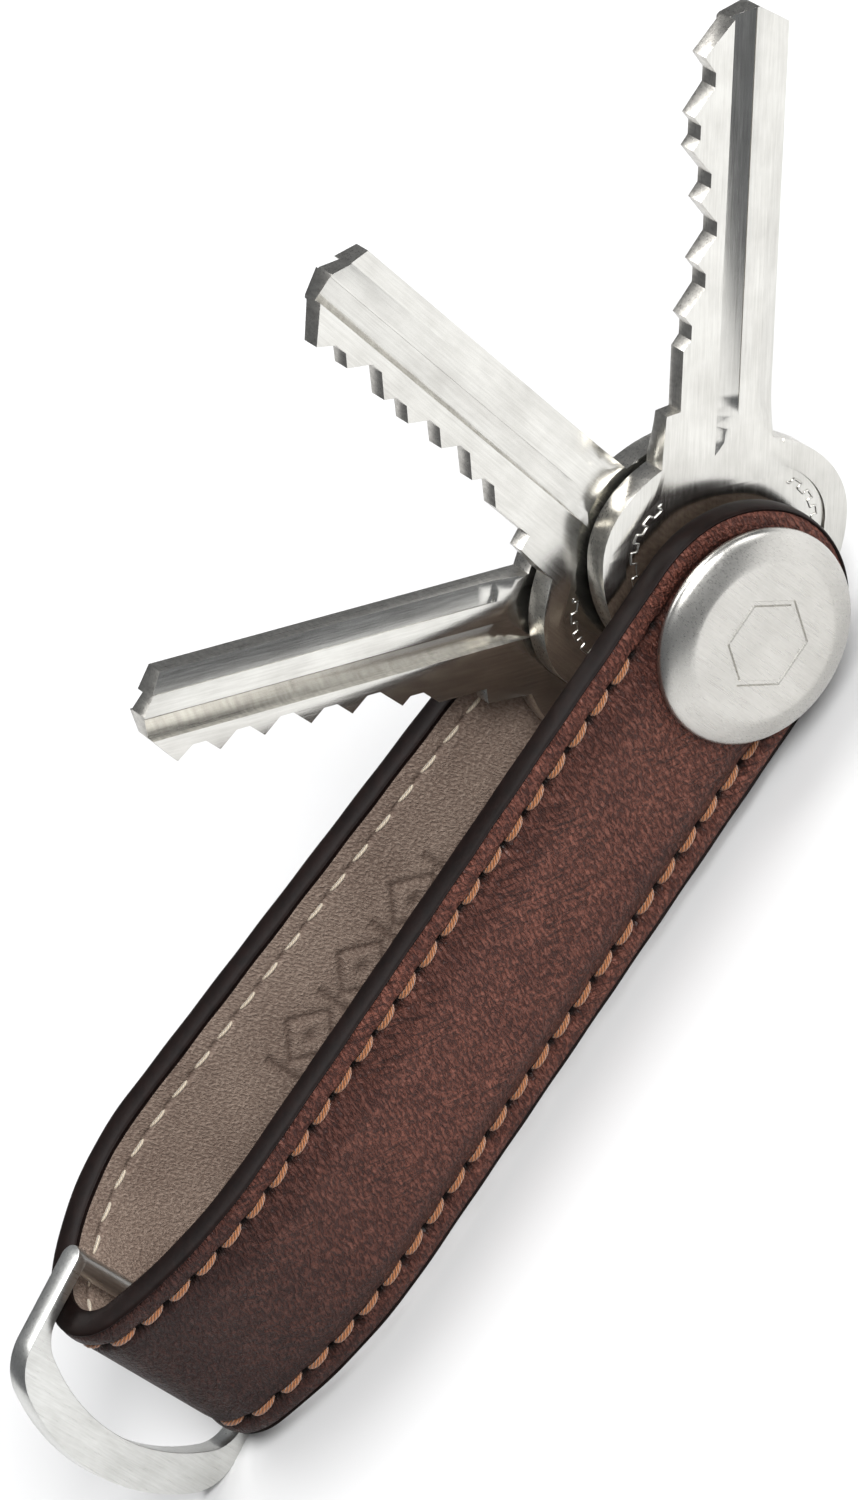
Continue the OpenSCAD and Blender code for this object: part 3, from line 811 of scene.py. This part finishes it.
def thread_finish(name, dark, light, bump):
    """Two twisted plies: a wave that slants across the stitch's own length and girth."""
    mat, shader = new_finish(name, Roughness=0.55, Sheen_Weight=0.4)
    own = add(mat, "TexCoord").outputs["UV"]
    slanted = add(mat, "Mapping", {"Vector": own, "Rotation": (0, 0, np.radians(38)),
                                   "Scale": (2.6, 2.6, 1)}).outputs[0]
    ply = add(mat, "TexWave", {"Vector": slanted, "Scale": 1.0, "Distortion": 0.6,
                               "Detail": 2.0, "Detail Scale": 2.0}).outputs["Fac"]
    fibre = noise(mat, spot(mat), 9.0, 3)
    tone = maths(mat, "ADD", maths(mat, "MULTIPLY", ply, 0.65), maths(mat, "MULTIPLY", fibre, 0.35))
    # Painted shade: the colour darkens between the plies, where the bump dips.
    colour = ramp(mat, tone, (0.12, dark), (0.55, light))
    return finish_off(mat, shader, colour, None, tone, bump, 0.9)


tan = thread_finish("tan_thread", screen(74, 38, 17), screen(168, 104, 56), 0.12)
cream = thread_finish("cream_thread", screen(176, 158, 134), screen(226, 212, 190), 0.05)
for name, mat in (("upper_stitches", tan), ("lower_stitches", tan),
                  ("upper_lining_stitches", cream), ("lower_lining_stitches", cream)):
    dress(bpy.data.objects[name], mat)

felt, shader = new_finish("padding_board", Roughness=0.95)
fluff = noise(felt, spot(felt), 3.0, 5, 0.7)
colour = ramp(felt, fluff, (0.3, screen(170, 160, 142)), (0.7, screen(214, 206, 190)))
finish_off(felt, shader, colour, None, fluff, 0.1)
for name in ("front_padding_strip", "rear_padding_strip"):
    dress(bpy.data.objects[name], felt)

nylon, shader = new_finish("washer_nylon")
speck = noise(nylon, spot(nylon), 4.0, 3)
finish_off(nylon, shader, ramp(nylon, speck, (0.3, screen(24, 24, 25)), (0.7, screen(46, 45, 46))),
           ramp(nylon, speck, (0.3, 0.42), (0.7, 0.6)), speck, 0.03)
for name in ("front_washer", "front_spacer", "rear_spacer", "rear_washer"):
    dress(nodes[name], nylon)

# %% [markdown]
# ## Metal finishes
# All the metal is plain or nickel-plated steel, but each part is finished in its own way: the
# caps are bead-blasted and lightly brushed, the ring is brushed along its strip, and the keys
# are milled lengthwise. A noise stretched along the tool's path gives the scratches, and the
# machined walls of a key are rougher and a darker grey, which its own surface direction tells.

# %% Steel and nickel
def brushed(name, colour_a, colour_b, base_rough, marks, turn=(0, 0, 0), deep=0.01, walls=False):
    """Metal with scratches of the given sizes, faint stains and, on request, rougher, darker walls.
    """
    mat, shader = new_finish(name, Metallic=1.0)
    lines = noise(mat, spot(mat, marks, turn), 1.0, 4, 0.65)
    stain = noise(mat, spot(mat), 0.22, 4, 0.6)
    fine = noise(mat, spot(mat), 7.0, 2)
    tone = maths(mat, "ADD", maths(mat, "MULTIPLY", lines, 0.5), maths(mat, "MULTIPLY", stain, 0.5))
    colour = ramp(mat, tone, (0.35, colour_a), (0.62, colour_b))
    spread = maths(mat, "MULTIPLY_ADD", lines, 0.16)
    spread.node.inputs[2].default_value = base_rough - 0.08
    height = maths(mat, "ADD", lines, maths(mat, "MULTIPLY", fine, 0.4))
    if walls:
        normal = add(mat, "TexCoord").outputs["Normal"]
        flatness = add(mat, "SeparateXYZ", {0: normal}).outputs["Y"]
        wall = ramp(mat, maths(mat, "ABSOLUTE", flatness), (0.25, 1.0), (0.7, 0.0))
        chatter = noise(mat, spot(mat, (0.35, 0.8, 0.35)), 1.0, 4, 0.7)
        # The walls get a darker grey with tool chatter.
        darker_wall_tone = ramp(mat, chatter, (0.35, screen(176, 173, 167)), (0.65, screen(208, 205, 198)))
        colour = mix(mat, wall, colour, darker_wall_tone)
        spread = maths(mat, "ADD", spread, maths(mat, "MULTIPLY", wall, 0.10))
        height = maths(mat, "ADD", height, maths(mat, "MULTIPLY", maths(
            mat, "MULTIPLY", chatter, wall), 1.4))
    return finish_off(mat, shader, colour, spread, height, deep, 0.6)


cap_mat = brushed("satin_cap_steel", screen(186, 184, 179), screen(206, 204, 199), 0.29,
                  (0.1, 0.1, 3.0), deep=0.006)
ring_mat = brushed("satin_ring_steel", screen(196, 196, 192), screen(222, 222, 219), 0.30,
                   (0.15, 0.15, 2.5), deep=0.006)
dress(front_cap, cap_mat)
dress(rear_cap, cap_mat)
dress(screw, cap_mat)
dress(nodes["post_barrel"], cap_mat)
dress(ring, ring_mat)
for key, piece in (("front_key", front_key), ("middle_key", middle_key), ("rear_key", rear_key)):
    metal = brushed(key + "_nickel", screen(196, 194, 189), screen(224, 223, 218), 0.19,
                    (4.0, 0.16, 0.16), (0, np.pi + np.radians(KEY_ANGLE[key]), 0), 0.008, True)
    dress(piece, metal)
    dress(bpy.data.objects[key + "_border"], metal)

# %% [markdown]
# ## Floor and light
# The organiser stands on a plain pale floor. Polished metal shows whatever is around it, so the
# light comes from a few large soft panels, with grey room between them: the panels and the pale
# floor give the bright faces, and the gaps give the dark bands.

# %% Floor and lights
floor_z = cad_lo.z / MM
side = 3000.0
floor = make_piece("floor", [[-side, -side, floor_z], [side, -side, floor_z],
                             [side, side, floor_z], [-side, side, floor_z]],
                   np.array([[0, 1, 2, 3]]))
floor_mat, shader = new_finish("pale_floor", Roughness=0.9)
tint = noise(floor_mat, spot(floor_mat), 0.004, 2)
finish_off(floor_mat, shader, ramp(floor_mat, tint, (0.3, 0.68), (0.7, 0.71)))
dress(floor, floor_mat)

world = bpy.data.worlds.new("studio")
bpy.context.scene.world = world
world.use_nodes = True
world.node_tree.nodes["Background"].inputs["Color"].default_value = (0.92, 0.95, 1.0, 1.0)
world.node_tree.nodes["Background"].inputs["Strength"].default_value = 0.17


def soft_panel(name, place, aim, width, height, power, spread=180):
    """A rectangular area light at place, turned to face aim; sizes in metres."""
    data = bpy.data.lights.new(name, "AREA")
    data.shape = "RECTANGLE"
    data.size, data.size_y, data.energy = width, height, power
    data.spread = np.radians(spread)
    lamp = bpy.data.objects.new(name, data)
    bpy.context.scene.collection.objects.link(lamp)
    lamp.location = place
    direction = Matrix.Translation(aim).translation - Matrix.Translation(place).translation
    lamp.rotation_euler = direction.to_track_quat("-Z", "Y").to_euler()
    return lamp


middle = (-0.035, 0.01, 0.01)
soft_panel("front", (0.16, -0.46, 0.56), middle, 0.42, 0.36, 1.8, 90)
soft_panel("overhead", (0.08, 0.22, 0.70), middle, 0.6, 0.45, 1.7, 100)
soft_panel("right", (0.62, -0.30, 0.22), middle, 0.3, 0.35, 0.45, 120)
bpy.context.scene.view_settings.view_transform = "Standard"
print("floor at", round(floor_z, 2), "mm")

# %% [markdown]
# ## Update the scene
# Looks never change the object's size. The last line updates the view layer, so that the
# scene is up to date.

# %% Update the scene
bpy.context.view_layer.update()
